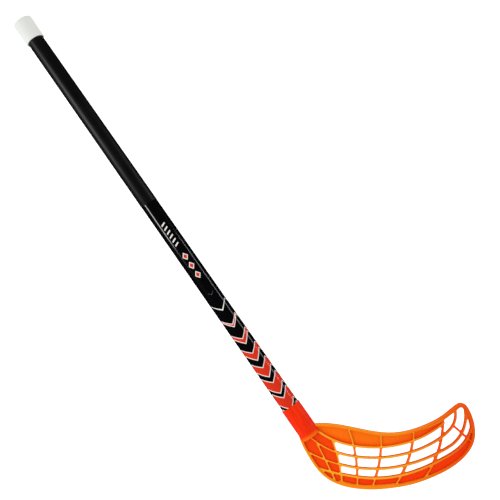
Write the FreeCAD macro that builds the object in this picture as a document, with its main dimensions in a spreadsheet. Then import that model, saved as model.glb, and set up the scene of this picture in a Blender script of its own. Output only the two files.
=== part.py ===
import FreeCAD, Part
import math
import os
import Sketcher
from FreeCAD import Placement, Rotation, Vector

# A floorball stick lying on its knob and the toe of its blade. X runs along the shaft from the knob to the
# blade, Z points up, and the origin is the centre of the knob's flat end.

DIMENSIONS = {
    # shaft tube, a slow cone down to the blade's socket
    "shaft_length": 744.0,
    "tube_top_diameter": 24.0,
    "tube_end_diameter": 26.4,
    "tube_wall": 2.0,
    # end knob, a cap over the top of the tube
    "knob_length": 36.5,
    "knob_side_wall": 2.25,
    "knob_flare": 0.5,
    "knob_end_wall": 4.0,
    "knob_end_chamfer": 1.2,
    "knob_clearance": 0.4,
    "crush_rib_width": 1.2,
    "crush_rib_gap": 0.05,
    "crush_rib_lead": 3.0,
    # grip sleeve and printed film on the tube
    "grip_length": 300.0,
    "grip_thickness": 0.4,
    "film_thickness": 0.15,
    "wrap_clearance": 0.03,
    "seam_gap": 0.2,
    # socket of the blade
    "socket_depth": 49.0,
    "socket_wall": 1.4,
    "socket_floor": 3.0,
    "socket_clearance": 0.1,
    "socket_end_chamfer": 0.8,
    "neck_overlap": 12.0,
    # blade
    "blade_angle": 62.0,
    "blade_length": 248.0,
    "blade_height": 105.0,
    "heel_offset": 6.0,
    "hook_depth": 13.0,
    "rim_depth": 9.0,
    "rib_depth": 7.0,
    "cross_rib_depth": 5.0,
    "web_thickness": 2.2,
    "top_rim_width": 4.0,
    "toe_rim_width": 6.2,
    "front_rim_width": 4.8,
    "sole_rim_width": 6.5,
    "heel_rim_width": 4.0,
    "rail_width": 2.8,
    "cross_rib_width": 3.0,
    "heel_edge_width": 2.2,
    "web_rib_width": 1.5,
    "window_corner_radius": 2.0,
    "recess_corner_radius": 1.2,
    "rim_step": 0.7,
    "rim_chamfer": 1.6,
    # screw that holds the blade on the tube, on the underside
    "screw_from_mouth": 33.0,
    "screw_head_diameter": 5.8,
    "screw_head_height": 1.0,
    "screw_head_rim": 0.2,
    "screw_shank_diameter": 3.6,
    "screw_length": 9.0,
    "screw_point": 2.2,
    "screw_clearance": 0.05,
    "recess_span": 3.4,
    "recess_width": 0.9,
    "recess_depth": 0.8,
}
CRUSH_RIBS = 6

# Blade outline and ribs, drawn on a blade of this length and height in the blade's own axes: u from heel to
# toe and v from sole to top edge, from the point where the shaft's axis enters the heel.
DRAWN_LENGTH = 248.0
DRAWN_HEIGHT = 105.0
TOE_PEAK = (217, 23.2)
TOE_TIP = (232.7, -12)
SOLE_START = (104, -80.9)
HEEL_START = (30.6, -69.4)
BLADE_EDGE = [(36, 16), (73, 4.7), (115, -4.9), (161, 0.2), (186, 8.7), (206, 19.6), TOE_PEAK, (223, 20.6),
              (226.8, 14.9), (230.6, 4), TOE_TIP, (229.4, -31.5), (207, -55.4), (160, -73.8), (130, -79.5),
              SOLE_START, (76, -80), (50, -75.8), HEEL_START, (16, -61), (3, -47.6), (-9, -26),
              (-16.4, -7.3)]
UPPER_RAIL = [(7, 11), (28, -4.2), (54, -15), (90, -22.3), (117, -22.5), (143, -18.8), (165, -12),
              (188, -0.5)]
SECOND_RAIL = [(-5, 3.5), (30, -22.3), (91, -37.3), (150, -32), (187, -17.5), (203, -4), (207, 17)]
THIRD_RAIL = [(-11, -17), (34, -40.4), (100, -53), (168, -42.8), (213.5, -18), (222, 17)]
LOWER_RAIL = [(0, -41.5), (57, -60), (115, -65), (172, -52.6), (216, -31), (226, -17), (230.5, -5)]
TOP_SWELL = [(130, -6.5), (162, -3.2), (188.4, 4.7), (203, 12.4), (214, 18.6)]
HEEL_RIB = [(5.5, -8.7), (18.6, -45.2), (26, -67)]
HEEL_EDGE = [(27, -3.5), (33, -40), (33, -69)]
CROSS_RIBS = [
    [(51, 12), (57.2, -28), (53, -77)],
    [(96, -2), (90.5, -40), (72, -79.5)],
    [(143.5, -5), (132.5, -41), (105, -79)],
    [(188, 7), (180, -27), (150, -72)],
]
TOE_RIB = [(203, -8.5), (213.5, -20.4), (227, -36)]
ROUND_SHARE = 0.75
WINDOW_CORNER_SIDES = 2
RECESS_CORNER_SIDES = 1
CURVE_TOLERANCE = 0.4
STRAIGHT_RADIUS = 20000.0
SAME = 0.001
STEEP = 0.9
PRISM_HEIGHTS = 8
ARCH_SPANS = 4

doc = FreeCAD.newDocument("FloorballStick")
sheet = doc.addObject("Spreadsheet::Sheet", "Dimensions")
for row, (alias, value) in enumerate(DIMENSIONS.items(), start=1):
    sheet.set(f"A{row}", alias)
    sheet.set(f"B{row}", str(value))
    sheet.setAlias(f"B{row}", alias)
doc.recompute()


def cell(alias):
    """Expression that reads a driving dimension."""
    return f"Dimensions.{alias}"


def value_of(expression):
    """Number that an expression on the driving dimensions gives."""
    return float(sheet.evalExpression(expression))


def size(alias):
    """Number of a driving dimension."""
    return value_of(cell(alias))


MOUTH = f"({cell('shaft_length')} - {cell('socket_depth')})"


def tube_radius(place):
    """Expression for the tube's outer radius at a place between the knob and the mouth of the socket."""
    top, end, start = cell("tube_top_diameter"), cell("tube_end_diameter"), cell("knob_end_wall")
    return f"(({top} + ({end} - {top}) * ({place} - {start}) / ({MOUTH} - {start})) / 2)"


GRIP_END = f"({cell('knob_length')} + {cell('grip_length')})"
SOCKET_LENGTH = f"({cell('socket_depth')} + {cell('socket_floor')})"
KNOB_BORE = f"({tube_radius(cell('knob_length'))} + {cell('knob_clearance')})"
KNOB_MOUTH = f"({KNOB_BORE} + {cell('knob_side_wall')})"
KNOB_RADIUS = f"({KNOB_MOUTH} + {cell('knob_flare')})"
SOCKET_BORE = f"({cell('tube_end_diameter')} / 2 + {cell('socket_clearance')})"
SOCKET_RADIUS = f"({SOCKET_BORE} + {cell('socket_wall')})"
SCREW_PLACE = f"({MOUTH} + {cell('screw_from_mouth')})"
HEAD_RADIUS = f"({cell('screw_head_diameter')} / 2)"
SCREW_TOP = f"(sqrt({SOCKET_RADIUS}^2 - {HEAD_RADIUS}^2))"


def bind(item, **expressions):
    """Ties properties of an object to expressions; a double underscore in a name stands for a dot."""
    for name, expression in expressions.items():
        item.setExpression(name.replace("__", "."), expression)
    return item


def origin_feature(body, role):
    """Origin plane or axis of a body, found by its role."""
    return next(item for item in body.Origin.OriginFeatures if item.Role == role)


def corner_sketch(body, name, role, corners, tapers=()):
    """Closed outline of straight sides whose corners are pairs of expressions; None lies on the axis.

    The sides numbered in tapers are splines of degree one, for slow tapers of few facets.
    """
    sketch = body.newObject("Sketcher::SketchObject", name)
    sketch.AttachmentSupport = [(origin_feature(body, role), "")]
    sketch.MapMode = "FlatFace"
    places = [Vector(*(0 if text is None else value_of(text) for text in corner)) for corner in corners]
    count = len(corners)
    for index, place in enumerate(places):
        ends = [place, places[(index + 1) % count]]
        spline = Part.BSplineCurve(ends, None, None, False, 1, None, False)
        sketch.addGeometry(spline if index in tapers else Part.LineSegment(*ends))
    for index in range(count):
        sketch.addConstraint(Sketcher.Constraint("Coincident", index, 2, (index + 1) % count, 1))
    for index, ((across, along), place) in enumerate(zip(corners, places)):
        offsets = (("DistanceX", -2, across, place.x), ("DistanceY", -1, along, place.y))
        for kind, axis, text, number in offsets:
            if text is None:
                sketch.addConstraint(Sketcher.Constraint("PointOnObject", index, 1, axis))
            else:
                constraint = sketch.addConstraint(Sketcher.Constraint(kind, -1, 1, index, 1, number))
                sketch.setExpression(f"Constraints[{constraint}]", text)
    return sketch


def turned_body(name, corners, axis, tapers=()):
    """Body turned from a profile on the XZ plane about one of the sketch's axes."""
    body = doc.addObject("PartDesign::Body", name)
    sketch = corner_sketch(body, name + "_profile", "XZ_Plane", corners, tapers)
    turned = body.newObject("PartDesign::Revolution", name + "_turned")
    turned.Profile = sketch
    turned.ReferenceAxis = (sketch, [axis])
    turned.Angle = 360
    doc.recompute()
    return body


def wrap(name, start, stop, thickness):
    """Thin layer that follows the cone of the tube between two places."""
    inner = [f"({tube_radius(place)} + {cell('wrap_clearance')})" for place in (start, stop)]
    return turned_body(name, [
        (start, inner[0]),
        (start, f"{inner[0]} + {thickness}"),
        (stop, f"{inner[1]} + {thickness}"),
        (stop, inner[1]),
    ], "H_Axis", tapers=(1, 3))


def screw_form(name, clearance, outer):
    """Countersunk screw along Z with its head on the underside, or with a clearance the room that it needs.

    The head starts at outer, an expression, or at the origin where that is None.
    """
    head = f"({HEAD_RADIUS} + {clearance})"
    shank = f"({cell('screw_shank_diameter')} / 2 + {clearance})"
    tip = f"({cell('screw_length')} + {clearance})"
    body = turned_body(name, [
        (head, outer),
        (head, cell("screw_head_rim")),
        (shank, cell("screw_head_height")),
        (shank, f"{tip} - {cell('screw_point')}"),
        (None, tip),
        (None, outer),
    ], "V_Axis")
    return bind(body, Placement__Base__x=SCREW_PLACE, Placement__Base__z=f"-{SCREW_TOP}")


def make_shaft_tube(screw_room):
    """Conical tube from the knob's end wall to the socket, straight from there on, with the screw's hole."""
    start, stop, wall = cell("knob_end_wall"), cell("shaft_length"), cell("tube_wall")
    top, end = tube_radius(start), tube_radius(MOUTH)
    blank = turned_body("TubeBlank", [
        (start, f"{top} - {wall}"),
        (start, top),
        (MOUTH, end),
        (stop, end),
        (stop, f"{end} - {wall}"),
        (MOUTH, f"{end} - {wall}"),
    ], "H_Axis", tapers=(1, 5))
    return cut("shaft_tube", blank, screw_room)


def make_end_knob():
    """Moulded cap with a flat closed end, a slight flare and crush ribs inside that grip the tube."""
    length, floor = cell("knob_length"), cell("knob_end_wall")
    chamfer = cell("knob_end_chamfer")
    body = turned_body("end_knob", [
        (None, None),
        (None, f"{KNOB_RADIUS} - {chamfer}"),
        (chamfer, KNOB_RADIUS),
        (length, KNOB_MOUTH),
        (length, KNOB_BORE),
        (floor, KNOB_BORE),
        (floor, None),
    ], "H_Axis", tapers=(2,))
    half_width = f"{cell('crush_rib_width')} / 2"
    tip = f"({tube_radius(length)} + {cell('crush_rib_gap')})"
    root = f"({KNOB_BORE} + {cell('knob_side_wall')} / 2)"
    sketch = corner_sketch(body, "CrushRibSection", "YZ_Plane", [
        (f"-{half_width}", tip),
        (half_width, tip),
        (half_width, root),
        (f"-{half_width}", root),
    ])
    rib = body.newObject("PartDesign::Pad", "CrushRib")
    rib.Profile = sketch
    bind(rib, Length=f"{length} - {cell('crush_rib_lead')}")
    doc.recompute()
    ribs = body.newObject("PartDesign::PolarPattern", "CrushRibRing")
    ribs.Originals = [rib]
    ribs.Axis = (origin_feature(body, "X_Axis"), [""])
    ribs.Angle = 360
    ribs.Occurrences = CRUSH_RIBS
    body.Tip = ribs
    return body


def make_blade_screw():
    """Self-tapping screw with a countersunk head and a cross recess."""
    body = screw_form("blade_screw", "0", None)
    half_span, half_width = f"{cell('recess_span')} / 2", f"{cell('recess_width')} / 2"
    corners = []
    for across, along in ((1, 1), (-1, 1), (-1, -1), (1, -1)):
        arm = [(across, half_span, along, half_width), (across, half_width, along, half_width),
               (across, half_width, along, half_span)]
        arm = arm if across == along else arm[::-1]
        corners += [(f"{a} * {x}", f"{b} * {y}") for a, x, b, y in arm]
    sketch = corner_sketch(body, "CrossRecessSection", "XY_Plane", corners)
    recess = body.newObject("PartDesign::Pocket", "CrossRecess")
    recess.Profile = sketch
    recess.Reversed = True
    bind(recess, Length=cell("recess_depth"))
    doc.recompute()
    return body


def cut(name, base, tool):
    """Base with the tool taken away."""
    item = doc.addObject("Part::Cut", name)
    item.Base = base
    item.Tool = tool
    return item


def common(name, base, tool):
    """What base and tool share."""
    item = doc.addObject("Part::Common", name)
    item.Base = base
    item.Tool = tool
    return item


def blade_point(place):
    """Point of the shaft's plane for a drawn place (u, v) on the blade."""
    u = place[0] * size("blade_length") / DRAWN_LENGTH
    v = place[1] * size("blade_height") / DRAWN_HEIGHT
    heel = Vector(size("shaft_length") + size("heel_offset"), 0, 0)
    return heel + Rotation(Vector(0, 0, 1), size("blade_angle")).multVec(Vector(u, v, 0))


def smooth_curve(points):
    """Smooth curve through points."""
    curve = Part.BSplineCurve()
    curve.interpolate(points)
    return curve


def drawn_curve(places):
    """Arc through three drawn places of the blade, or a smooth curve through more."""
    points = [blade_point(place) for place in places]
    return Part.Arc(*points) if len(points) == 3 else smooth_curve(points)


def parted(curve, place):
    """The stretches of a curve before and after a drawn place on it."""
    split = curve.parameter(blade_point(place))
    before, after = curve.copy(), curve.copy()
    before.segment(curve.FirstParameter, split)
    after.segment(split, curve.LastParameter)
    return before, after


def straightened(arc):
    """An arc, or its chord where it is as good as straight."""
    is_straight = isinstance(arc, Part.ArcOfCircle) and arc.Radius > STRAIGHT_RADIUS
    return Part.LineSegment(arc.StartPoint, arc.EndPoint) if is_straight else arc


def strip(curve, width):
    """Flat band of a width along a curve, with round ends."""
    arcs = curve.toBiArcs(CURVE_TOLERANCE) if isinstance(curve, Part.BSplineCurve) else [curve]
    wire = Part.Wire([straightened(arc).toShape() for arc in arcs])
    return wire.makeOffset2D(width / 2, fill=True, openResult=False)


def left_of(curve, point):
    """Whether a point lies on the left of a curve as it runs."""
    place = curve.parameter(point)
    offset = point - curve.value(place)
    return curve.tangent(place)[0].cross(offset).z > 0


def blade_edge():
    """Edge of the blade, from the top of the neck round the toe, sole and heel to the foot of the neck."""
    neck_x = value_of(f"{MOUTH} + {SOCKET_LENGTH}") - size("neck_overlap")
    neck_y = value_of(f"({SOCKET_BORE} + {SOCKET_RADIUS}) / 2")
    points = [blade_point(place) for place in BLADE_EDGE]
    return smooth_curve([Vector(neck_x, neck_y, 0), *points, Vector(neck_x, -neck_y, 0)])


def rim_strips(edge, step):
    """Bands along the stretches of the blade's edge, narrower than its rim by a step."""
    widths = [size(f"{place}_rim_width") - step for place in ("top", "toe", "front", "sole", "heel")]
    bands = []
    for width, stop in zip(widths, (TOE_PEAK, TOE_TIP, SOLE_START, HEEL_START)):
        stretch, edge = parted(edge, stop)
        bands.append(strip(stretch, 2 * width))
    return bands + [strip(edge, 2 * widths[-1])]


def drawn_in(face, step):
    """Face drawn in by a step; an edge that can't be followed one way round is followed the other way."""
    try:
        return face.makeOffset2D(-step)
    except ValueError:
        return face.reversed().makeOffset2D(-step)


def rounded_cells(faces, largest):
    """Cells with round corners as large as their width allows; a sliver stays solid."""
    cells = []
    for face in faces:
        reach = face.Area / face.OuterWire.Length
        if reach > largest / 2:
            radius = min(largest, ROUND_SHARE * reach)
            cells += drawn_in(face, radius).makeOffset2D(radius).Faces
    return cells


def faceted(faces, largest, sides):
    """Cells whose round corners are made of straight sides."""
    cells = []
    for face in faces:
        edges = []
        for edge in face.OuterWire.Edges:
            is_corner = isinstance(edge.Curve, Part.Circle) and edge.Curve.Radius < largest + SAME
            edges += Part.makePolygon(edge.discretize(sides + 1)).Edges if is_corner else [edge]
        cells.append(Part.Face(Part.Wire(Part.sortEdges(edges)[0])))
    return cells


def prism(name, faces):
    """Upright prism on flat faces, tall enough for the whole arch of the blade."""
    flat = doc.addObject("Part::Feature", name + "Section")
    flat.Shape = Part.makeCompound(faces)
    item = doc.addObject("Part::Extrusion", name)
    item.Base = flat
    item.DirMode = "Custom"
    item.Dir = Vector(0, 0, 1)
    item.Solid = True
    item.Symmetric = True
    return bind(item, LengthFwd=f"{PRISM_HEIGHTS} * ({cell('hook_depth')} + {cell('rim_depth')})")


def arch_cylinder(name, lift):
    """Cylinder whose top runs along the arch of the blade, lifted off its middle.

    The arch rises over the hook's depth between the heel, on the shaft's axis, and the toe, whose rim meets
    the floor that the knob lies on.
    """
    reach = (blade_point(TOE_TIP) - blade_point((0, TOE_TIP[1]))).Length
    drop = value_of(KNOB_RADIUS) - size("rim_depth") / 2
    chord = math.hypot(reach, drop)
    hook = size("hook_depth")
    radius = chord ** 2 / (8 * hook) + hook / 2
    centre_u = reach / 2 - (radius - hook) * drop / chord
    centre_z = -drop / 2 - (radius - hook) * reach / chord
    turn = Rotation(Vector(0, 0, 1), size("blade_angle"))
    span = ARCH_SPANS * size("blade_height")
    base = blade_point((0, 0)) + turn.multVec(Vector(centre_u, -span / 2, centre_z))
    cylinder = doc.addObject("Part::Cylinder", name)
    cylinder.Radius = radius + lift
    cylinder.Height = span
    cylinder.Placement = Placement(base, Rotation(Vector(0, 0, 1), turn.multVec(Vector(0, 1, 0))))
    return cylinder


def both_sides(name, section, depth):
    """What a prism holds above and below a layer of a depth about the arch."""
    above = cut(name + "Above", section, arch_cylinder(name + "Upper", depth / 2))
    below = common(name + "Below", section, arch_cylinder(name + "Lower", -depth / 2))
    return [above, below]


def gathered(name, items):
    """Separate tools as one compound."""
    item = doc.addObject("Part::Compound", name)
    item.Links = items
    return item


def soften_outline(name, plate, outline):
    """Plate with the edges along its outline chamfered."""
    doc.recompute()
    chamfer = size("rim_chamfer")
    edges = []
    for number, edge in enumerate(plate.Shape.Edges, start=1):
        middle = (edge.FirstParameter + edge.LastParameter) / 2
        place = edge.valueAt(middle)
        foot = Part.Vertex(place.x, place.y, 0)
        on_outline = outline.toShape().distToShape(foot)[0] < SAME
        if on_outline and abs(edge.tangentAt(middle).z) < STEEP:
            edges.append((number, chamfer, chamfer))
    item = doc.addObject("Part::Chamfer", name)
    item.Base = plate
    item.Edges = edges
    return item


def strips(drawn, width):
    """Flat bands of one width along drawn curves."""
    return [strip(drawn_curve(places), width) for places in drawn]


def blade_cells(outline, rims):
    """Open windows, the low bars that part them, and the blind recesses about them."""
    upper, lower, heel_edge = (drawn_curve(places) for places in (UPPER_RAIL, LOWER_RAIL, HEEL_EDGE))
    rails, ribs = [SECOND_RAIL, THIRD_RAIL], CROSS_RIBS + [HEEL_RIB, TOE_RIB]
    window_corner, recess_corner = size("window_corner_radius"), size("recess_corner_radius")

    def is_open(face):
        middle = face.CenterOfMass
        return not left_of(upper, middle) and left_of(lower, middle) and left_of(heel_edge, middle)

    frame = rims + strips([UPPER_RAIL, LOWER_RAIL, TOP_SWELL], size("rail_width"))
    frame += strips([HEEL_EDGE], size("heel_edge_width"))
    raised = frame + strips(rails, size("rail_width"))
    openings = outline.cut(raised + strips(ribs, size("cross_rib_width"))).Faces
    windows = rounded_cells([face for face in openings if is_open(face)], window_corner)
    windows = faceted(windows, window_corner, WINDOW_CORNER_SIDES)
    bars = strips(ribs, size("cross_rib_width") + 2 * window_corner)
    bars = [face for bar in bars for face in bar.cut(raised).Faces if is_open(face)]
    pockets = outline.cut(frame + strips(rails + ribs, size("web_rib_width"))).Faces
    recesses = rounded_cells([face for face in pockets if not is_open(face)], recess_corner)
    return windows, bars, faceted(recesses, recess_corner, RECESS_CORNER_SIDES)


def make_socket(screw_room):
    """Blind socket that the tube stands in, and the bore that it leaves free."""
    socket = doc.addObject("Part::Cylinder", "SocketBlank")
    bore = doc.addObject("Part::Cylinder", "SocketBore")
    for item in (socket, bore):
        item.Placement = Placement(Vector(), Rotation(Vector(0, 1, 0), 90))
        bind(item, Placement__Base__x=MOUTH)
    bind(socket, Radius=SOCKET_RADIUS, Height=SOCKET_LENGTH)
    bind(bore, Radius=SOCKET_BORE, Height=cell("socket_depth"))
    softened = doc.addObject("Part::Chamfer", "SocketSoftened")
    softened.Base = socket
    doc.recompute()
    reach = value_of(f"{MOUTH} + {SOCKET_LENGTH}")
    chamfer = size("socket_end_chamfer")
    rims = enumerate(socket.Shape.Edges, start=1)
    softened.Edges = [(number, chamfer, chamfer) for number, rim in rims if rim.BoundBox.XMin > reach - SAME]
    return cut("Socket", cut("SocketBored", softened, bore), screw_room), bore


def make_blade(screw_room):
    """One moulding: socket, softened rim, arched rails, cross ribs and thin webs about the open windows."""
    edge = blade_edge()
    closing = Part.LineSegment(edge.EndPoint, edge.StartPoint)
    outline = Part.Face(Part.Wire([edge.toShape(), closing.toShape()]))
    rims = rim_strips(edge, 0)
    lips = rim_strips(edge, size("rim_step"))
    windows, bars, recesses = blade_cells(outline, rims)
    socket, bore = make_socket(screw_room)
    half = size("rim_depth") / 2
    plate = cut("PlateUnderside", prism("OutlinePrism", [outline]), arch_cylinder("PlateLower", -half))
    plate = common("PlateTop", plate, arch_cylinder("PlateUpper", half))
    plate = cut("Plate", plate, bore)
    field = both_sides("Field", prism("FieldPrism", outline.cut(lips).Faces), size("rib_depth"))
    plate = cut("RimmedPlate", plate, gathered("FieldTools", field))
    low_bars = both_sides("Bar", prism("BarPrism", bars), size("cross_rib_depth"))
    plate = cut("BarredPlate", plate, gathered("BarTools", low_bars))
    webs = both_sides("Recess", prism("RecessPrism", recesses), size("web_thickness"))
    plate = cut("RibbedPlate", plate, gathered("CellTools", webs + [prism("WindowPrism", windows)]))
    plate = soften_outline("SoftenedPlate", plate, edge)
    blade = doc.addObject("Part::Fuse", "blade")
    blade.Base = plate
    blade.Tool = socket
    return blade


screw_room = screw_form("ScrewRoom", cell("screw_clearance"), f"-{cell('screw_head_height')}")
nodes = [
    make_shaft_tube(screw_room),
    wrap("grip_sleeve", cell("knob_length"), GRIP_END, cell("grip_thickness")),
    wrap("graphic_film", f"({GRIP_END} + {cell('seam_gap')})", MOUTH, cell("film_thickness")),
    make_end_knob(),
    make_blade(screw_room),
    make_blade_screw(),
]
doc.recompute()

for item in doc.Objects:
    if "Invalid" in item.State or "Error" in item.State:
        raise RuntimeError(f"{item.Label} failed: {item.State}")
for node in nodes:
    if node.Shape.isNull() or not node.Shape.isValid():
        raise RuntimeError(f"{node.Label} has no valid shape")

os.makedirs("parts", exist_ok=True)
for node in nodes:
    node.Shape.exportStep(f"parts/{node.Label}.step")
    box = node.Shape.BoundBox
    print(node.Label, len(node.Shape.Solids), "solid", round(node.Shape.Volume), "mm3",
          [round(limit, 2) for limit in (box.XMin, box.XMax, box.YMin, box.YMax, box.ZMin, box.ZMax)])
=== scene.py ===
import logging
import math
from dataclasses import dataclass
from enum import Enum
from typing import Any, Union

import bmesh
import bpy
from mathutils import Color, Matrix, Vector


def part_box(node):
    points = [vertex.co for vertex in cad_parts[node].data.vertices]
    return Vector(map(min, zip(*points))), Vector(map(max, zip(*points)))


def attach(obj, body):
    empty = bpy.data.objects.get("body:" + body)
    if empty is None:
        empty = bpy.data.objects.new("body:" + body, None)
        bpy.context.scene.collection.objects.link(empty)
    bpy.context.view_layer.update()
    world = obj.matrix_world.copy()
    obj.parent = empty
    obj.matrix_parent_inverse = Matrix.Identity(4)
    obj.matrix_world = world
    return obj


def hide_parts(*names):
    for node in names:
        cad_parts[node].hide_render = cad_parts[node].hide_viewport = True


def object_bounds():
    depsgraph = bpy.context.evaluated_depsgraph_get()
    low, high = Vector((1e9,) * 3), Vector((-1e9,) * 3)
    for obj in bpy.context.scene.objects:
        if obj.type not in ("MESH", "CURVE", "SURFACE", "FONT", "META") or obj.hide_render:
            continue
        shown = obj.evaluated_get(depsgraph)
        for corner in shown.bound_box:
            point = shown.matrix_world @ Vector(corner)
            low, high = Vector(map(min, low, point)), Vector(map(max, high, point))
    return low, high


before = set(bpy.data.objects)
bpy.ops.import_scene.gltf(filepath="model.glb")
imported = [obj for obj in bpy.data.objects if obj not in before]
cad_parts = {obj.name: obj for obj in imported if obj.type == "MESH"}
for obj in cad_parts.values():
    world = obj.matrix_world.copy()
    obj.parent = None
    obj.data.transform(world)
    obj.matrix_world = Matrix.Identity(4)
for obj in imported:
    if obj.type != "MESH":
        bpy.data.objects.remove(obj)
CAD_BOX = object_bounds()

Triple = tuple[float, float, float]
Tint = tuple[float, float, float, float]

log = logging.getLogger("floorball_stick")
BODY = "root"
FULL_TURN = 2 * math.pi
SHARP_ANGLE = math.radians(35)
MERGE_DISTANCE = 1e-6
BLACK: Tint = (0, 0, 0, 1)
WHITE: Tint = (1, 1, 1, 1)

# How near the end of a CAD node a vertex lies that belongs to the end
END_REACH = 1e-5

# Steps of a round corner, and the shape that makes it a circular arc
ROUND_STEPS = 4
ROUND_SHAPE = 0.5

# Numbers of the inputs and of the output that a Mix node uses for colours
MIX_FACTOR, MIX_FIRST, MIX_SECOND = 0, 6, 7
MIX_RESULT = 2


class Slot(Enum):
    """Names of material slots for the new pieces."""

    GRIP = "grip"
    FILM = "film"
    KNOB = "knob"


def tint(red: int, green: int, blue: int) -> Tint:
    """Turns a screen colour into the linear colour that a shader takes.

    Args:
        red: Red, from 0 to 255.
        green: Green, from 0 to 255.
        blue: Blue, from 0 to 255.

    Returns:
        The linear colour with a full alpha.
    """
    screen = Color((red / 255, green / 255, blue / 255))
    return (*screen.from_srgb_to_scene_linear(), 1.0)


@dataclass(frozen=True)
class Cloud:
    """Noise in a piece's own space.

    Attributes:
        size: Size of its grains in metres.
        detail: Number of finer layers.
        stretch: Scale of the coordinates along X, Y and Z.
    """

    size: float
    detail: float = 3.0
    stretch: Triple = (1, 1, 1)


@dataclass(frozen=True)
class Relief:
    """Fine relief of a surface.

    Attributes:
        depth: Height of its hills in metres.
        strength: Share of that height that bends the light.
    """

    depth: float
    strength: float


class Signal:
    """A shader socket whose arithmetic adds Math nodes to its bench."""

    def __init__(self, bench: "Bench", socket: bpy.types.NodeSocket) -> None:
        """Wraps an output socket."""
        self.bench = bench
        self.socket = socket

    def __add__(self, other: "Number") -> "Signal":
        """Adds a value."""
        return self.bench.math("ADD", self, other)

    def __sub__(self, other: "Number") -> "Signal":
        """Takes a value away."""
        return self.bench.math("SUBTRACT", self, other)

    def __rsub__(self, other: "Number") -> "Signal":
        """Takes this signal away from a value."""
        return self.bench.math("SUBTRACT", other, self)

    def __mul__(self, other: "Number") -> "Signal":
        """Multiplies by a value."""
        return self.bench.math("MULTIPLY", self, other)

    def __truediv__(self, other: "Number") -> "Signal":
        """Divides by a value."""
        return self.bench.math("DIVIDE", self, other)

    def __pow__(self, other: "Number") -> "Signal":
        """Raises to a power."""
        return self.bench.math("POWER", self, other)

    def __abs__(self) -> "Signal":
        """Drops the sign."""
        return self.bench.math("ABSOLUTE", self)

    __radd__ = __add__
    __rmul__ = __mul__

    def sibling(self, name: str) -> "Signal":
        """Another output of the node that this signal comes from."""
        return Signal(self.bench, self.socket.node.outputs[name])


Number = Union[float, Signal]
Paint = Union[Tint, Signal]


class Bench:
    """The node tree of one material, and the one method that adds a node to it."""

    def __init__(self, name: str) -> None:
        """Starts a material with a single shader.

        Args:
            name: Name of the material.
        """
        self.material = bpy.data.materials.new(name)
        self.material.use_nodes = True
        self.tree = self.material.node_tree
        self.shader = self.tree.nodes["Principled BSDF"]

    def feed(self, socket: bpy.types.NodeSocket, value: Any) -> None:
        """Links a signal to a socket, or sets the socket's own value.

        Args:
            socket: Input socket of a node.
            value: Signal or plain value for it.
        """
        if isinstance(value, Signal):
            self.tree.links.new(value.socket, socket)
        else:
            socket.default_value = value

    def add(self, kind: str, settings: dict[str, Any], sockets: dict[Union[str, int], Any],
            output: int = 0) -> Signal:
        """Adds a node.

        Args:
            kind: The node's type, without its ShaderNode prefix.
            settings: Properties of the node, set first.
            sockets: Values or signals by the name or number of the input.
            output: Number of the output that is wanted.

        Returns:
            That output.
        """
        node = self.tree.nodes.new("ShaderNode" + kind)
        for name, value in settings.items():
            setattr(node, name, value)
        for key, value in sockets.items():
            self.feed(node.inputs[key], value)
        return Signal(self, node.outputs[output])

    def math(self, operation: str, *values: Number, clamp: bool = False) -> Signal:
        """Result of a Math node."""
        return self.add("Math", {"operation": operation, "use_clamp": clamp}, dict(enumerate(values)))

    def coordinates(self) -> Signal:
        """Place of a point in the piece's own space, in metres."""
        return self.add("TexCoord", {}, {}).sibling("Object")

    def place(self) -> tuple[Signal, Signal, Signal]:
        """The three coordinates of a point in the piece's own space, in metres."""
        x = self.add("SeparateXYZ", {}, {"Vector": self.coordinates()})
        return x, x.sibling("Y"), x.sibling("Z")

    def ramp(self, value: Signal, low: float, high: float) -> Signal:
        """Smooth step of a value from 0 at low to 1 at high."""
        return self.add("MapRange", {"interpolation_type": "SMOOTHSTEP"},
                        {"Value": value, "From Min": low, "From Max": high})

    def below(self, value: Signal, limit: Number, softness: float) -> Signal:
        """Mask that is 1 where a value lies below a limit, with a soft edge."""
        return self.math("ADD", (limit - value) / softness, 0.5, clamp=True)

    def blend(self, mask: Signal, first: Paint, second: Paint) -> Signal:
        """Colour that goes from the first to the second as the mask goes from 0 to 1."""
        return self.add("Mix", {"data_type": "RGBA"},
                        {MIX_FACTOR: mask, MIX_FIRST: first, MIX_SECOND: second}, output=MIX_RESULT)

    def noise(self, cloud: Cloud) -> Signal:
        """Noise from 0 to 1 in the piece's own space."""
        mapped = self.add("Mapping", {}, {"Vector": self.coordinates(), "Scale": cloud.stretch})
        return self.add("TexNoise", {}, {"Vector": mapped, "Scale": 1 / cloud.size, "Detail": cloud.detail})

    def bump(self, height: Signal, relief: Relief) -> Signal:
        """Normal that is bent by a height."""
        return self.add("Bump", {},
                        {"Height": height, "Distance": relief.depth, "Strength": relief.strength})

    def finish(self, **inputs: Any) -> bpy.types.Material:
        """Sets or links the shader's inputs.

        Args:
            **inputs: Values or signals by the name of the input, with underscores for spaces.

        Returns:
            The material.
        """
        for name, value in inputs.items():
            self.feed(self.shader.inputs[name.replace("_", " ")], value)
        return self.material


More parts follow.
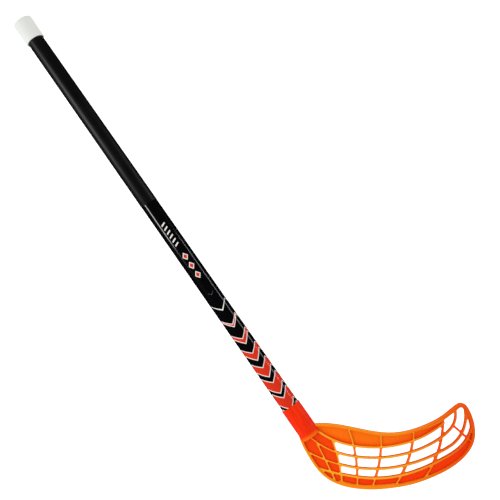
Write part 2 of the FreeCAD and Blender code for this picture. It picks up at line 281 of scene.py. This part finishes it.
@dataclass(frozen=True)
class SatinSleeve:
    """Black sleeve with a fine grain."""

    dark: Tint = tint(6, 6, 7)
    light: Tint = tint(17, 17, 18)
    grain: Cloud = Cloud(0.0009)
    cloud: Cloud = Cloud(0.02)
    roughness: float = 0.36
    grain_roughness: float = 0.08
    cloud_roughness: float = 0.06
    specular: float = 0.42
    relief: Relief = Relief(0.0001, 0.25)

    def material(self) -> bpy.types.Material:
        """Makes the material.

        Returns:
            The new material.
        """
        bench = Bench("satin_sleeve")
        grain = bench.noise(self.grain)
        cloud = bench.noise(self.cloud)
        return bench.finish(
            Base_Color=bench.blend(cloud, self.dark, self.light),
            Roughness=self.roughness + self.grain_roughness * grain + self.cloud_roughness * cloud,
            Specular_IOR_Level=self.specular,
            Normal=bench.bump(grain, self.relief),
        )


@dataclass(frozen=True)
class PrintedFilm:
    """Glossy black film with zigzag bands that widen towards the socket, and a row of plain marks."""

    radius: float = 0.0132
    black: Tint = tint(7, 7, 9)
    orange: Tint = tint(222, 46, 14)
    white: Tint = tint(245, 240, 232)
    softness: float = 0.00025
    line: float = 0.0015
    zigzags: int = 3
    zigzag_depth: float = 0.013
    bands_start: float = 0.478
    bands_stop: float = 0.690
    band_pitch: float = 0.027
    band_half_width: float = 0.0105
    bars_start: float = 0.372
    bars_stop: float = 0.414
    bar_pitch: float = 0.007
    bar_half_width: float = 0.0011
    bar_reach: float = 0.0034
    bar_slant: float = 0.4
    lozenges_start: float = 0.424
    lozenges_stop: float = 0.472
    lozenge_pitch: float = 0.016
    lozenge_length: float = 0.0062
    lozenge_width: float = 0.0046
    smear: Cloud = Cloud(0.012, stretch=(0.3, 1, 1))
    ripple: Cloud = Cloud(0.004)
    roughness: float = 0.12
    smear_roughness: float = 0.08
    print_roughness: float = 0.05
    specular: float = 0.4
    coat: float = 0.3
    coat_roughness: float = 0.06
    relief: Relief = Relief(0.00005, 0.1)

    def repeat(self, bench: Bench, place: Signal, pitch: float) -> Signal:
        """Distance from the nearest of a row of centres that lie a pitch apart."""
        return abs(bench.math("FRACT", place / pitch) - 0.5) * pitch

    def within(self, bench: Bench, place: Signal, start: float, stop: float) -> Signal:
        """Mask of the stretch between two places."""
        return bench.below(abs(place - (start + stop) / 2), (stop - start) / 2, self.softness)

    def bands(self, bench: Bench, x: Signal, turn: Signal) -> tuple[Signal, Signal]:
        """Masks of the zigzag bands, which have no width where they start.

        Args:
            bench: Bench of the material.
            x: Place along the shaft.
            turn: Angle round the shaft.

        Returns:
            Mask of their colour, and mask of their colour with its outlines.
        """
        fold = math.pi / self.zigzags
        zigzag = bench.math("PINGPONG", turn, fold) / fold * self.zigzag_depth
        away = self.repeat(bench, x + zigzag, self.band_pitch)
        growth = bench.ramp(x, self.bands_start, self.bands_stop)
        grown = growth * (self.band_half_width + self.softness) - self.softness
        outer = bench.below(away, grown, self.softness)
        inner = bench.below(away, grown - self.line, self.softness)
        return inner, outer

    def bars(self, bench: Bench, x: Signal, around: Signal) -> Signal:
        """Mask of a short row of slanted bars.

        Args:
            bench: Bench of the material.
            x: Place along the shaft.
            around: Distance round the shaft from the top.

        Returns:
            The mask.
        """
        leaning = x + around * self.bar_slant
        from_bar = self.repeat(bench, leaning - self.bars_start, self.bar_pitch)
        bar = bench.below(from_bar, self.bar_half_width, self.softness)
        row = self.within(bench, leaning, self.bars_start, self.bars_stop)
        return bar * row * bench.below(abs(around), self.bar_reach, self.softness)

    def lozenges(self, bench: Bench, x: Signal, around: Signal) -> tuple[Signal, Signal]:
        """Masks of a row of lozenges.

        Args:
            bench: Bench of the material.
            x: Place along the shaft.
            around: Distance round the shaft from the top.

        Returns:
            Mask of their colour, and mask of their colour with its outlines.
        """
        along = self.repeat(bench, x - self.lozenges_start, self.lozenge_pitch)
        away = along / self.lozenge_length + abs(around) / self.lozenge_width
        row = self.within(bench, x, self.lozenges_start, self.lozenges_stop)
        inner = bench.below(away, 1 - self.line / self.lozenge_width, self.softness / self.lozenge_width)
        outer = bench.below(away, 1.0, self.softness / self.lozenge_width)
        return inner * row, outer * row

    def material(self) -> bpy.types.Material:
        """Makes the material.

        Returns:
            The new material.
        """
        bench = Bench("printed_film")
        x, y, z = bench.place()
        turn = bench.math("ARCTAN2", y, z)
        around = turn * self.radius
        band, band_edge = self.bands(bench, x, turn)
        lozenge, lozenge_edge = self.lozenges(bench, x, around)
        marks = bench.math("MAXIMUM", lozenge_edge, self.bars(bench, x, around))
        pale = bench.math("MAXIMUM", band_edge, marks)
        coloured = bench.math("MAXIMUM", band, lozenge)
        smear = bench.noise(self.smear)
        return bench.finish(
            Base_Color=bench.blend(coloured, bench.blend(pale, self.black, self.white), self.orange),
            Roughness=self.roughness + self.smear_roughness * smear + self.print_roughness * pale,
            Specular_IOR_Level=self.specular,
            Coat_Weight=self.coat,
            Coat_Roughness=self.coat_roughness,
            Normal=bench.bump(bench.noise(self.ripple), self.relief),
        )


@dataclass(frozen=True)
class MouldedKnob:
    """Pale grey-white plastic with a soft gloss and a painted glow that evens its shading."""

    pale: Tint = tint(226, 228, 224)
    grey: Tint = tint(215, 217, 212)
    cloud: Cloud = Cloud(0.008, stretch=(0.4, 1, 1))
    grain: Cloud = Cloud(0.0006)
    roughness: float = 0.42
    cloud_roughness: float = 0.12
    specular: float = 0.15
    # Painted glow that evens the knob's shading.
    glow: float = 0.07
    scatter_share: float = 0.12
    scatter_reach: Triple = (0.003, 0.003, 0.003)
    relief: Relief = Relief(0.00006, 0.2)

    def material(self) -> bpy.types.Material:
        """Makes the material.

        Returns:
            The new material.
        """
        bench = Bench("moulded_knob")
        cloud = bench.noise(self.cloud)
        grain = bench.noise(self.grain)
        return bench.finish(
            Base_Color=bench.blend(cloud, self.grey, self.pale),
            Roughness=self.roughness + self.cloud_roughness * cloud,
            Specular_IOR_Level=self.specular,
            # Painted glow that evens the knob's shading.
            Emission_Color=self.pale,
            Emission_Strength=self.glow,
            Subsurface_Weight=self.scatter_share,
            Subsurface_Radius=self.scatter_reach,
            Subsurface_Scale=1.0,
            Normal=bench.bump(grain, self.relief),
        )


@dataclass(frozen=True)
class Arch:
    """The arched middle layer of the blade: a cylinder across the blade's length.

    Attributes:
        heel: Place on the shaft's axis where the blade's own axes start.
        angle: Turn of the blade's length from the shaft's axis.
        reach: Length from the heel to the toe's tip.
        rise: Height of the arch over the line from heel to toe.
        drop: How much lower the toe lies than the heel.
    """

    heel: float = 0.750
    angle: float = math.radians(62)
    reach: float = 0.2327
    rise: float = 0.013
    drop: float = 0.0107

    @property
    def chord(self) -> float:
        """Straight distance from the heel to the toe."""
        return math.hypot(self.reach, self.drop)

    @property
    def radius(self) -> float:
        """Radius of the arch."""
        return self.chord ** 2 / (8 * self.rise) + self.rise / 2

    @property
    def centre(self) -> tuple[float, float]:
        """Place along the blade and height of the arch's axis."""
        arm = (self.radius - self.rise) / self.chord
        return self.reach / 2 - arm * self.drop, -self.drop / 2 - arm * self.reach

    def own_axes(self, bench: Bench) -> tuple[Signal, Signal, Signal]:
        """Place of a point in the blade's own axes.

        Args:
            bench: Bench of the material.

        Returns:
            Place along the blade, place across it, and distance from the arched middle layer.
        """
        x, y, z = bench.place()
        ahead = x - self.heel
        along = ahead * math.cos(self.angle) + y * math.sin(self.angle)
        across = y * math.cos(self.angle) - ahead * math.sin(self.angle)
        centre_along, centre_height = self.centre
        from_axis = bench.math("SQRT", (along - centre_along) ** 2 + (z - centre_height) ** 2)
        return along, across, abs(from_axis - self.radius)


@dataclass(frozen=True)
class OrangeMoulding:
    """Translucent orange plastic, deep red-orange on the neck, with painted light: tops of ribs and rims
    painted yellow as a highlight, sunken webs painted deep red-orange as shade, upright walls painted
    darker as shade, the toe painted redder as shade, and a painted glow on the neck.

    Depths are distances from the arched middle layer. Fades at toe and heel are places along the blade. The
    rail that parts the low webs from the upper ones is taken as a parabola, lowest at its middle.
    """

    arch: Arch = Arch()
    # Painted light: rails and rims are painted yellow as a highlight on their tops, the webs deeper
    # red-orange as shade in the hollows, and the _toe colours redder as painted shade.
    rail: Tint = tint(255, 176, 36)
    rail_toe_shade: Tint = tint(243, 104, 8)
    rim: Tint = tint(255, 142, 14)
    rim_toe_shade: Tint = tint(242, 92, 8)
    web: Tint = tint(255, 120, 2)
    web_low: Tint = tint(255, 62, 0)
    web_heel: Tint = tint(250, 72, 0)
    neck: Tint = tint(240, 50, 0)
    neck_dark: Tint = tint(222, 34, 0)
    # Painted glow on the neck, which evens its shading.
    glow: Tint = tint(255, 40, 0)
    painted_glow_strength: float = 0.12
    # Painted shade on the upright walls.
    wall_shade: Tint = tint(214, 74, 0)
    wall_shade_share: float = 0.7
    wall_slope: float = 0.3
    face_slope: float = 0.6
    # Stretch along the blade over which the colours are painted redder towards the toe as shade.
    toe_shade_start: float = 0.10
    toe_shade_stop: float = 0.225
    heel_fade_start: float = 0.03
    heel_fade_stop: float = 0.07
    neck_end: float = 0.7445
    neck_fade: float = 0.008
    neck_radius: float = 0.0150
    neck_margin: float = 0.0004
    web_depth: float = 0.0020
    rail_depth: float = 0.0033
    rim_depth: float = 0.0044
    rail_low: float = -0.023
    rail_middle: float = 0.105
    rail_bend: float = 3.4
    rail_fade_low: float = -0.004
    rail_fade_high: float = 0.010
    cloud: Cloud = Cloud(0.014, detail=4)
    cloud_share: float = 0.18
    grain: Cloud = Cloud(0.0008)
    streak: Cloud = Cloud(0.003, detail=2, stretch=(0.15, 1, 1))
    streak_low: float = 0.3
    streak_high: float = 0.7
    roughness: float = 0.3
    cloud_roughness: float = 0.12
    specular: float = 0.08
    scatter_share: float = 0.15
    scatter_reach: Triple = (0.004, 0.0012, 0.0002)
    relief: Relief = Relief(0.00006, 0.2)

    def walls(self, bench: Bench) -> Signal:
        """Mask of the upright walls of rims, ribs and windows, which get painted shade.

        Args:
            bench: Bench of the material.

        Returns:
            The mask.
        """
        normal = bench.add("NewGeometry", {}, {}).sibling("Normal")
        facing_up = bench.add("SeparateXYZ", {}, {"Vector": normal}).sibling("Z")
        return 1 - bench.ramp(abs(facing_up), self.wall_slope, self.face_slope)

    def plate(self, bench: Bench) -> Signal:
        """Colour of webs, rails, rims and walls, with a painted highlight on the tops of ribs and rims and
        painted shade in the webs, on the upright walls and towards the toe.

        Args:
            bench: Bench of the material.

        Returns:
            The colour.
        """
        along, across, depth = self.arch.own_axes(bench)
        # Painted shade: colours turn redder towards the toe.
        toe_shade_mask = bench.ramp(along, self.toe_shade_start, self.toe_shade_stop)
        over_rail = across - self.rail_low - (along - self.rail_middle) ** 2 * self.rail_bend
        off_heel = bench.ramp(along, self.heel_fade_start, self.heel_fade_stop)
        low = bench.blend(off_heel, self.web_heel, self.web_low)
        web = bench.blend(bench.ramp(over_rail, self.rail_fade_low, self.rail_fade_high), low, self.web)
        rail = bench.blend(toe_shade_mask, self.rail, self.rail_toe_shade)
        rim = bench.blend(toe_shade_mask, self.rim, self.rim_toe_shade)
        # Tops of rails and rims get the painted highlight colours, the sunken webs the painted shade
        # colours.
        raised_highlight = bench.blend(bench.ramp(depth, self.rail_depth, self.rim_depth), rail, rim)
        height = bench.ramp(depth, self.web_depth, self.rail_depth)
        faces = bench.blend(height, bench.blend(toe_shade_mask, web, self.web_low), raised_highlight)
        # Upright walls get painted shade.
        return bench.blend(self.walls(bench) * self.wall_shade_share, faces, self.wall_shade)

    def on_neck(self, bench: Bench) -> Signal:
        """Mask of the round neck that holds the shaft.

        Args:
            bench: Bench of the material.

        Returns:
            The mask.
        """
        x, y, z = bench.place()
        from_shaft = bench.math("SQRT", y ** 2 + z ** 2)
        before_end = bench.below(x, self.neck_end, self.neck_fade)
        return before_end * bench.below(from_shaft, self.neck_radius, self.neck_margin)

    def material(self) -> bpy.types.Material:
        """Makes the material.

        Returns:
            The new material.
        """
        bench = Bench("orange_moulding")
        plate = self.plate(bench)
        on_neck = self.on_neck(bench)
        cloud = bench.noise(self.cloud)
        grain = bench.noise(self.grain)
        streak = bench.ramp(bench.noise(self.streak), self.streak_low, self.streak_high)
        neck = bench.blend(streak, self.neck_dark, self.neck)
        clouded = bench.blend(self.cloud_share * cloud, plate, self.neck)
        return bench.finish(
            Base_Color=bench.blend(on_neck, clouded, neck),
            Roughness=self.roughness + self.cloud_roughness * cloud,
            Specular_IOR_Level=self.specular,
            Subsurface_Weight=self.scatter_share,
            Subsurface_Radius=self.scatter_reach,
            Subsurface_Scale=1.0,
            # Painted glow on the neck that evens its shading.
            Emission_Color=bench.blend(on_neck, BLACK, self.glow),
            Emission_Strength=self.painted_glow_strength,
            Normal=bench.bump(grain, self.relief),
        )


@dataclass(frozen=True)
class ZincSteel:
    """Zinc-plated steel of the screw."""

    bright: Tint = tint(196, 198, 200)
    dull: Tint = tint(150, 152, 156)
    cloud: Cloud = Cloud(0.0012)
    grain: Cloud = Cloud(0.0003)
    roughness: float = 0.28
    cloud_roughness: float = 0.2
    relief: Relief = Relief(0.00003, 0.2)

    def material(self) -> bpy.types.Material:
        """Makes the material.

        Returns:
            The new material.
        """
        bench = Bench("zinc_steel")
        cloud = bench.noise(self.cloud)
        return bench.finish(
            Base_Color=bench.blend(cloud, self.dull, self.bright),
            Metallic=1.0,
            Roughness=self.roughness + self.cloud_roughness * cloud,
            Normal=bench.bump(bench.noise(self.grain), self.relief),
        )


@dataclass(frozen=True)
class FibreTube:
    """Dark wound fibre in resin, with its strands crossing along two helices."""

    dark: Tint = tint(14, 14, 15)
    strand: Tint = tint(48, 48, 50)
    radius: float = 0.0125
    strand_pitch: float = 0.003
    roughness: float = 0.3
    weave_roughness: float = 0.15
    relief: Relief = Relief(0.0001, 0.3)

    def material(self) -> bpy.types.Material:
        """Makes the material.

        Returns:
            The new material.
        """
        bench = Bench("fibre_tube")
        x, y, z = bench.place()
        around = bench.math("ARCTAN2", y, z) * self.radius
        first = bench.math("SINE", (x + around) * (FULL_TURN / self.strand_pitch))
        second = bench.math("SINE", (x - around) * (FULL_TURN / self.strand_pitch))
        weave = first * second * 0.5 + 0.5
        return bench.finish(
            Base_Color=bench.blend(weave, self.dark, self.strand),
            Roughness=self.roughness + self.weave_roughness * weave,
            Normal=bench.bump(weave, self.relief),
        )


@dataclass(frozen=True)
class LitPaper:
    """Matt white paper that light shines through.

    Attributes:
        name: Name of the material.
        glow: Strength of the light.
    """

    name: str
    glow: float
    white: Tint = tint(252, 252, 252)
    grey: Tint = tint(246, 246, 246)
    fibre: Cloud = Cloud(0.004)
    roughness: float = 0.9

    def material(self) -> bpy.types.Material:
        """Makes the material.

        Returns:
            The new material.
        """
        bench = Bench(self.name)
        fibre = bench.noise(self.fibre)
        return bench.finish(
            Base_Color=bench.blend(fibre, self.grey, self.white),
            Roughness=self.roughness,
            Specular_IOR_Level=0.0,
            Emission_Color=WHITE,
            Emission_Strength=self.glow,
        )


def turned_piece(name: str, profile: list[tuple[float, float]], rounding: float, steps: int,
                 closed: bool) -> bpy.types.Object:
    """Turns a profile about the shaft's axis into a piece with round corners.

    Args:
        name: Name of the piece.
        profile: Corners as places along the shaft and radii.
        rounding: Size of the round at each corner off the axis.
        steps: Number of steps of the full turn.
        closed: Whether the profile's last corner joins its first.

    Returns:
        The new object.
    """
    mesh = bmesh.new()
    corners = [mesh.verts.new((along, 0, radius)) for along, radius in profile]
    following = corners[1:] + corners[:1] if closed else corners[1:]
    for first, second in zip(corners, following):
        mesh.edges.new((first, second))
    inner = corners if closed else corners[1:-1]
    bmesh.ops.bevel(mesh, geom=inner, offset=rounding, affect="VERTICES", segments=ROUND_STEPS,
                    profile=ROUND_SHAPE, material=-1)
    bmesh.ops.spin(mesh, geom=mesh.verts[:] + mesh.edges[:], cent=(0, 0, 0), axis=(1, 0, 0), dvec=(0, 0, 0),
                   angle=FULL_TURN, steps=steps, use_merge=True)
    bmesh.ops.remove_doubles(mesh, verts=mesh.verts, dist=MERGE_DISTANCE)
    bmesh.ops.recalc_face_normals(mesh, faces=mesh.faces)
    return smooth_object(name, mesh)


def smooth_object(name: str, mesh: bmesh.types.BMesh) -> bpy.types.Object:
    """Makes an object of a bmesh, shaded smooth except at sharp edges.

    Args:
        name: Name of the object.
        mesh: The bmesh, which is freed.

    Returns:
        The new object.
    """
    data = bpy.data.meshes.new(name)
    for face in mesh.faces:
        face.smooth = True
    for edge in mesh.edges:
        edge.smooth = len(edge.link_faces) == 2 and edge.calc_face_angle() < SHARP_ANGLE
    mesh.to_mesh(data)
    mesh.free()
    piece = bpy.data.objects.new(name, data)
    bpy.context.scene.collection.objects.link(piece)
    return piece


def dress(piece: bpy.types.Object, material: bpy.types.Material) -> None:
    """Gives a piece or a CAD node one material.

    Args:
        piece: The piece or node.
        material: Its material.
    """
    piece.data.materials.clear()
    piece.data.materials.append(material)
    log.info("%s: %s, %d faces", piece.name, material.name, len(piece.data.polygons))


def seat(piece: bpy.types.Object, node: str) -> bpy.types.Object:
    """Lets a new piece stand for a CAD node.

    Args:
        piece: The new piece.
        node: Name of the node.

    Returns:
        The piece.
    """
    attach(piece, BODY)
    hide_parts(node)
    return piece


@dataclass
class Shaft:
    """Tube with its sleeve and its printed film."""

    steps: int = 96
    hem_round: float = 0.00006
    sleeve_thickness: float = 0.0004
    film_thickness: float = 0.00015
    sleeve_finish: SatinSleeve = SatinSleeve()
    film_finish: PrintedFilm = PrintedFilm()
    tube_finish: FibreTube = FibreTube()

    def wrap(self, name: str, node: str, thickness: float) -> bpy.types.Object:
        """Builds a thin layer on the slow cone of the tube, between the ends of its CAD node.

        Args:
            name: Name of the layer.
            node: Name of the node.
            thickness: Thickness of the layer.

        Returns:
            The layer.
        """
        low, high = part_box(node)
        narrow, wide = self.radius_at(node, low.x), self.radius_at(node, high.x)
        profile = [(low.x, narrow - thickness), (low.x, narrow), (high.x, wide), (high.x, wide - thickness)]
        return turned_piece(name, profile, self.hem_round, self.steps, closed=True)

    def radius_at(self, node: str, place: float) -> float:
        """Outer radius of a CAD node at one of its ends."""
        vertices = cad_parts[node].data.vertices
        return max(math.hypot(v.co.y, v.co.z) for v in vertices if abs(v.co.x - place) < END_REACH)

    def build(self) -> None:
        """Builds and dresses the sleeve and the film, and dresses the tube."""
        sleeve = self.wrap("sleeve", "grip_sleeve", self.sleeve_thickness)
        dress(seat(sleeve, "grip_sleeve"), self.sleeve_finish.material())
        film = self.wrap("film", "graphic_film", self.film_thickness)
        dress(seat(film, "graphic_film"), self.film_finish.material())
        dress(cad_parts["shaft_tube"], self.tube_finish.material())


@dataclass
class Knob:
    """Pale cap on the top of the tube."""

    steps: int = 96
    flare: float = 0.0005
    side_wall: float = 0.00225
    end_wall: float = 0.004
    corner_round: float = 0.0012
    finish: MouldedKnob = MouldedKnob()

    def build(self) -> None:
        """Builds and dresses the cap."""
        low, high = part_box("end_knob")
        end, mouth = high.z, high.z - self.flare
        profile = [(low.x, 0), (low.x, end), (high.x, mouth), (high.x, mouth - self.side_wall),
                   (self.end_wall, mouth - self.side_wall), (self.end_wall, 0)]
        cap = turned_piece("knob", profile, self.corner_round, self.steps, closed=False)
        dress(seat(cap, "end_knob"), self.finish.material())


@dataclass
class Blade:
    """Hooked orange moulding with its screw."""

    finish: OrangeMoulding = OrangeMoulding()
    screw_finish: ZincSteel = ZincSteel()

    def build(self) -> None:
        """Dresses the moulding and the screw."""
        dress(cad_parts["blade"], self.finish.material())
        dress(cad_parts["blade_screw"], self.screw_finish.material())


@dataclass(frozen=True)
class Lamp:
    """An area light that looks at the stick.

    Attributes:
        name: Name of the lamp.
        place: Place of the lamp.
        size: Width and height of its face.
        power: Power in watts.
        mirrored: Whether it is only mirrored by glossy surfaces; otherwise it only lights them.
        colour: Colour of its light.
    """

    name: str
    place: Triple
    size: tuple[float, float]
    power: float
    mirrored: bool
    colour: Triple = (1.0, 1.0, 1.0)


@dataclass
class Studio:
    """White floor, soft lights and the camera."""

    floor_size: float = 12.0
    floor_gap: float = 0.0002
    floor_paper: LitPaper = LitPaper("floor_paper", glow=0.9)
    board_paper: LitPaper = LitPaper("board_paper", glow=0.45)
    lamps: tuple[Lamp, ...] = (
        Lamp("key", (0.3, -1.3, 1.2), (1.2, 1.2), power=9, mirrored=False),
        Lamp("strip", (-0.45, -1.5, 0.95), (0.9, 0.35), power=12, mirrored=True),
        Lamp("rim", (0.6, 1.6, 0.25), (1.2, 0.1), power=4, mirrored=True, colour=(0.9, 0.94, 1.0)),
    )
    tent_light: float = 0.83
    camera_place: Vector = Vector((0.5590, 0.0814, 1.1633))
    camera_right: Vector = Vector((0.5745, 0.8175, -0.0399))
    camera_down: Vector = Vector((0.8155, -0.5759, -0.0572))
    lens: float = 57.6
    sensor: float = 36.0
    target: Vector = Vector((0.45, 0.05, 0.0))

    def add_sheet(self, name: str, gap: float, paper: LitPaper) -> bpy.types.Object:
        """Lays a wide sheet of white paper under the stick.

        Args:
            name: Name of the sheet.
            gap: Distance from the stick's lowest point.
            paper: Finish of the sheet.

        Returns:
            The sheet, which isn't mirrored in glossy surfaces.
        """
        low, _ = CAD_BOX
        mesh = bmesh.new()
        bmesh.ops.create_grid(mesh, x_segments=1, y_segments=1, size=self.floor_size / 2)
        bmesh.ops.translate(mesh, verts=mesh.verts, vec=(self.target.x, self.target.y, low.z - gap))
        sheet = smooth_object(name, mesh)
        dress(sheet, paper.material())
        sheet.visible_glossy = False
        return sheet

    def add_floor(self) -> None:
        """Lays the floor that the camera sees, and a dimmer board that lights the stick from below."""
        self.add_sheet("floor", self.floor_gap, self.floor_paper).visible_diffuse = False
        self.add_sheet("board", 2 * self.floor_gap, self.board_paper).visible_camera = False

    def add_lamp(self, lamp: Lamp) -> None:
        """Adds a lamp that looks at the stick.

        Args:
            lamp: The lamp.
        """
        light = bpy.data.lights.new(lamp.name, "AREA")
        light.shape = "RECTANGLE"
        light.size, light.size_y = lamp.size
        light.energy = lamp.power
        light.color = lamp.colour
        holder = bpy.data.objects.new(lamp.name, light)
        bpy.context.scene.collection.objects.link(holder)
        holder.location = lamp.place
        holder.rotation_euler = (Vector(lamp.place) - self.target).to_track_quat("Z", "Y").to_euler()
        holder.visible_glossy = lamp.mirrored
        holder.visible_diffuse = not lamp.mirrored

    def add_tent(self) -> None:
        """Adds the even light of a white tent round the stick, which glossy surfaces don't mirror."""
        world = bpy.data.worlds.new("tent")
        world.use_nodes = True
        surround = world.node_tree.nodes["Background"].inputs
        surround["Color"].default_value = WHITE
        surround["Strength"].default_value = self.tent_light
        world.cycles_visibility.glossy = False
        bpy.context.scene.world = world

    def add_camera(self) -> None:
        """Sets the camera at the viewing angle of the photograph."""
        up, right = -self.camera_down, self.camera_right
        back = right.cross(up)
        turn = Matrix((right, up, back)).transposed().to_4x4()
        camera = bpy.data.objects.new("camera", bpy.data.cameras.new("camera"))
        camera.data.lens = self.lens
        camera.data.sensor_width = self.sensor
        camera.matrix_world = Matrix.Translation(self.camera_place) @ turn
        bpy.context.scene.collection.objects.link(camera)
        bpy.context.scene.camera = camera

    def build(self) -> None:
        """Builds the floor, a soft key light, two strips for the gloss, the tent and the camera."""
        bpy.context.scene.view_settings.view_transform = "Standard"
        self.add_floor()
        for lamp in self.lamps:
            self.add_lamp(lamp)
        self.add_tent()
        self.add_camera()


def main() -> None:
    """Builds the stick's looks and the studio round it."""
    logging.basicConfig(level=logging.INFO)
    for assembly in (Shaft(), Knob(), Blade(), Studio()):
        assembly.build()
        log.info("%s is built", type(assembly).__name__)


if __name__ == "__main__":
    main()
